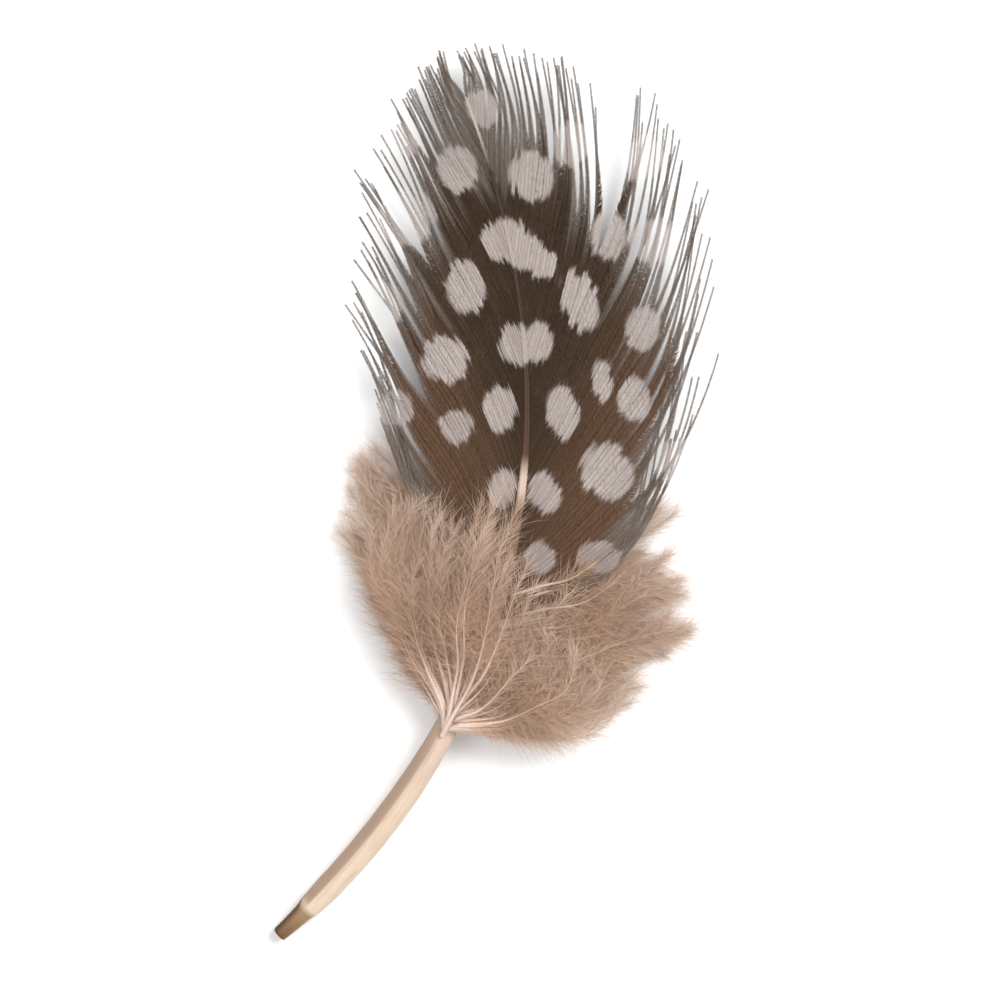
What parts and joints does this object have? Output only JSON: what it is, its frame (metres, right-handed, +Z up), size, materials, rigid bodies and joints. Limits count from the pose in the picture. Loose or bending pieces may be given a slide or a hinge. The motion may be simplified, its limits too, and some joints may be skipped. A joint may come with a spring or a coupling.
{
  "type": "guinea fowl feather",
  "caption": "Small curved body feather lying on its back: pale quill, dark vane with pale spots and a loose fringe, tufts of tan down and a downy afterfeather.",
  "frame": {"origin": "centre of the feather's outline, on the flat surface that it lies on", "axes": "+Y from the quill towards the tip of the vane, +X to the feather's wider half, +Z up from the surface"},
  "size_m": [0.0316, 0.0614, 0.0069],
  "materials": {
    "quill_horn": "satin horn, cream and a little translucent, amber at its dried end, brown along the vane",
    "spotted_vane": "dark brown barbs with round pale spots, paler and loose along the margin",
    "tan_down": "matt tan fluff with pale pinkish barbs"
  },
  "bodies": {
    "root": {"shaft": "quill_horn", "vane_right": "spotted_vane", "down_right": "tan_down", "vane_left": "spotted_vane", "down_left": "tan_down", "afterfeather": "tan_down"}
  },
  "joints": []
}
